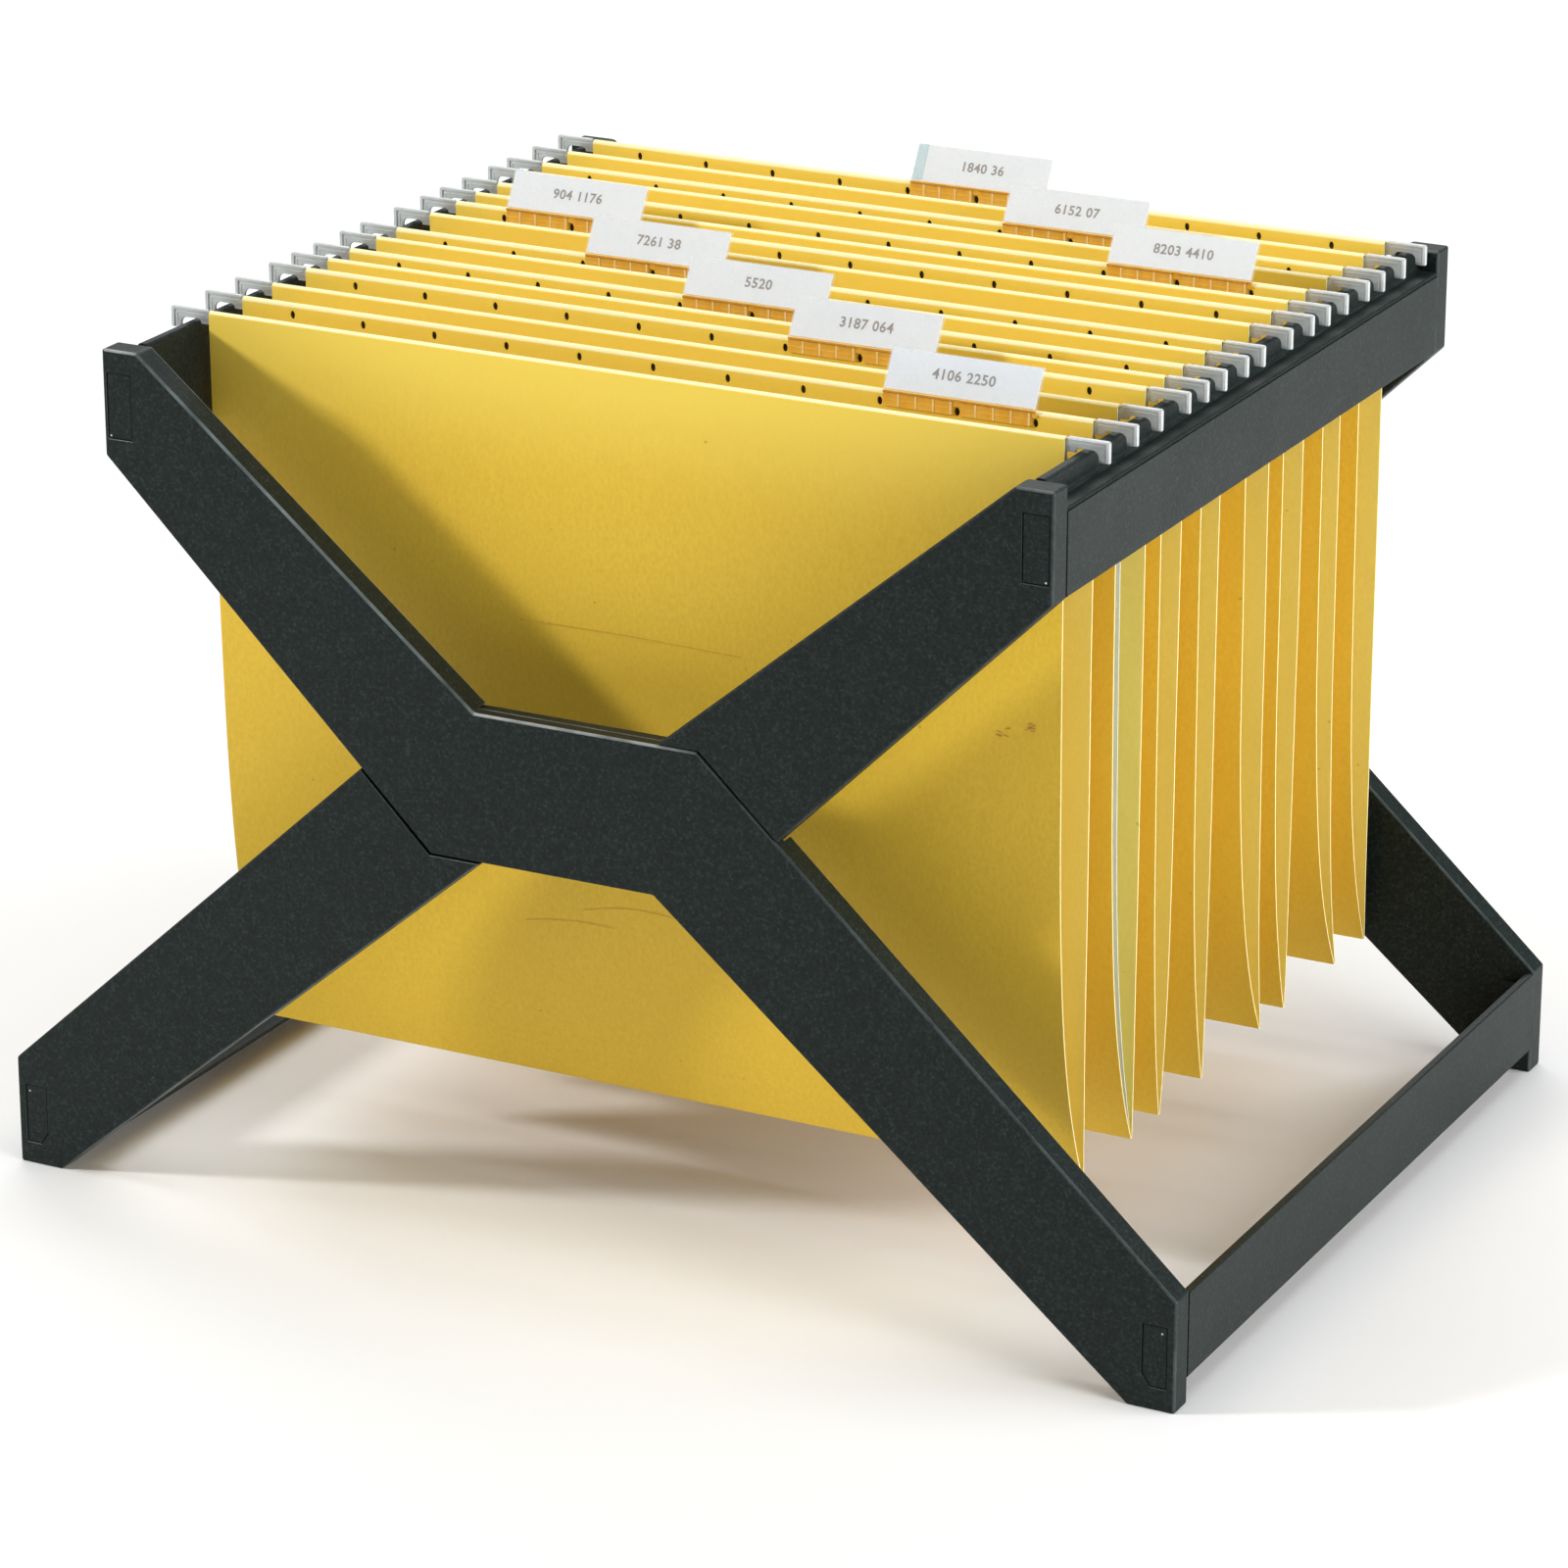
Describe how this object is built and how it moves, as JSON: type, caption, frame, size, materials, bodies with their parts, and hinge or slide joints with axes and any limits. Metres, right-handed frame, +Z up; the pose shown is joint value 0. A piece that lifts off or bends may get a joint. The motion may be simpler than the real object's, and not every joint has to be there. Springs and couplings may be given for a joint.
{
  "type": "desktop suspension file rack",
  "caption": "Charcoal crossed-arm desk rack with top rails, holding hooked card suspension files that slide along the rails and open for papers.",
  "frame": {"origin": "centre of the object's footprint, on the surface the feet stand on", "axes": "+X runs across the rack to the right seen from the front, along the bars; +Y runs along the rails to the rear; +Z is up"},
  "size_m": [0.445, 0.33, 0.3218],
  "materials": {
    "rack_plastic": "fine matte grain",
    "file_card": "uncoated pressed card, matte",
    "bar_steel": "stamped strip, satin",
    "tab_plastic": "clear moulded plastic",
    "label_paper": "matte white paper",
    "sheet_paper": "pale blue writing paper, matte"
  },
  "bodies": {
    "rack": {"arm_front_outer": "rack_plastic", "arm_front_inner": "rack_plastic", "arm_rear_outer": "rack_plastic", "arm_rear_inner": "rack_plastic", "rail_left": "rack_plastic", "rail_right": "rack_plastic", "stretcher_left": "rack_plastic", "stretcher_right": "rack_plastic"},
    "file_1": {"file_1_rear_panel": "file_card", "file_1_rear_bar": "bar_steel", "file_1_tab": "tab_plastic", "file_1_label": "label_paper"},
    "file_1_front": {"file_1_front_panel": "file_card", "file_1_front_bar": "bar_steel"},
    "file_2": {"file_2_rear_panel": "file_card", "file_2_rear_bar": "bar_steel", "file_2_tab": "tab_plastic", "file_2_label": "label_paper"},
    "file_2_front": {"file_2_front_panel": "file_card", "file_2_front_bar": "bar_steel", "file_2_paper": "sheet_paper"},
    "file_3": {"file_3_rear_panel": "file_card", "file_3_rear_bar": "bar_steel", "file_3_tab": "tab_plastic", "file_3_label": "label_paper"},
    "file_3_front": {"file_3_front_panel": "file_card", "file_3_front_bar": "bar_steel"},
    "file_4": {"file_4_rear_panel": "file_card", "file_4_rear_bar": "bar_steel", "file_4_tab": "tab_plastic", "file_4_label": "label_paper"},
    "file_4_front": {"file_4_front_panel": "file_card", "file_4_front_bar": "bar_steel"},
    "file_5": {"file_5_rear_panel": "file_card", "file_5_rear_bar": "bar_steel", "file_5_tab": "tab_plastic", "file_5_label": "label_paper"},
    "file_5_front": {"file_5_front_panel": "file_card", "file_5_front_bar": "bar_steel"},
    "file_6": {"file_6_rear_panel": "file_card", "file_6_rear_bar": "bar_steel", "file_6_tab": "tab_plastic", "file_6_label": "label_paper"},
    "file_6_front": {"file_6_front_panel": "file_card", "file_6_front_bar": "bar_steel"},
    "file_7": {"file_7_rear_panel": "file_card", "file_7_rear_bar": "bar_steel", "file_7_tab": "tab_plastic", "file_7_label": "label_paper"},
    "file_7_front": {"file_7_front_panel": "file_card", "file_7_front_bar": "bar_steel"},
    "file_8": {"file_8_rear_panel": "file_card", "file_8_rear_bar": "bar_steel", "file_8_tab": "tab_plastic", "file_8_label": "label_paper"},
    "file_8_front": {"file_8_front_panel": "file_card", "file_8_front_bar": "bar_steel"}
  },
  "joints": [
    {"name": "file_1_slide", "type": "slide", "parent": "rack", "child": "file_1", "axis": [0, 1, 0], "range_m": [-0.024, 0.014]},
    {"name": "file_1_open", "type": "hinge", "parent": "file_1", "child": "file_1_front", "pos_m": [0, -0.099, 0.0445], "axis": [1, 0, 0], "range_deg": [-1, 1]},
    {"name": "file_2_slide", "type": "slide", "parent": "rack", "child": "file_2", "axis": [0, 1, 0], "range_m": [-0.014, 0.0096]},
    {"name": "file_2_open", "type": "hinge", "parent": "file_2", "child": "file_2_front", "pos_m": [0, -0.06, 0.0445], "axis": [1, 0, 0], "range_deg": [-1, 1]},
    {"name": "file_3_slide", "type": "slide", "parent": "rack", "child": "file_3", "axis": [0, 1, 0], "range_m": [-0.0096, 0.0129]},
    {"name": "file_3_open", "type": "hinge", "parent": "file_3", "child": "file_3_front", "pos_m": [0, -0.037, 0.0445], "axis": [1, 0, 0], "range_deg": [-1, 1]},
    {"name": "file_4_slide", "type": "slide", "parent": "rack", "child": "file_4", "axis": [0, 1, 0], "range_m": [-0.0129, 0.0183]},
    {"name": "file_4_open", "type": "hinge", "parent": "file_4", "child": "file_4_front", "pos_m": [0, -0.001, 0.0445], "axis": [1, 0, 0], "range_deg": [-1, 1]},
    {"name": "file_5_slide", "type": "slide", "parent": "rack", "child": "file_5", "axis": [0, 1, 0], "range_m": [-0.0183, 0.009]},
    {"name": "file_5_open", "type": "hinge", "parent": "file_5", "child": "file_5_front", "pos_m": [0, 0.05, 0.0445], "axis": [1, 0, 0], "range_deg": [-1, 1]},
    {"name": "file_6_slide", "type": "slide", "parent": "rack", "child": "file_6", "axis": [0, 1, 0], "range_m": [-0.009, 0.014]},
    {"name": "file_6_open", "type": "hinge", "parent": "file_6", "child": "file_6_front", "pos_m": [0, 0.072, 0.0445], "axis": [1, 0, 0], "range_deg": [-1, 1]},
    {"name": "file_7_slide", "type": "slide", "parent": "rack", "child": "file_7", "axis": [0, 1, 0], "range_m": [-0.014, 0.014]},
    {"name": "file_7_open", "type": "hinge", "parent": "file_7", "child": "file_7_front", "pos_m": [0, 0.119, 0.0445], "axis": [1, 0, 0], "range_deg": [-1, 1]},
    {"name": "file_8_slide", "type": "slide", "parent": "rack", "child": "file_8", "axis": [0, 1, 0], "range_m": [-0.014, 0.006]},
    {"name": "file_8_open", "type": "hinge", "parent": "file_8", "child": "file_8_front", "pos_m": [0, 0.147, 0.0445], "axis": [1, 0, 0], "range_deg": [-1, 1]}
  ]
}
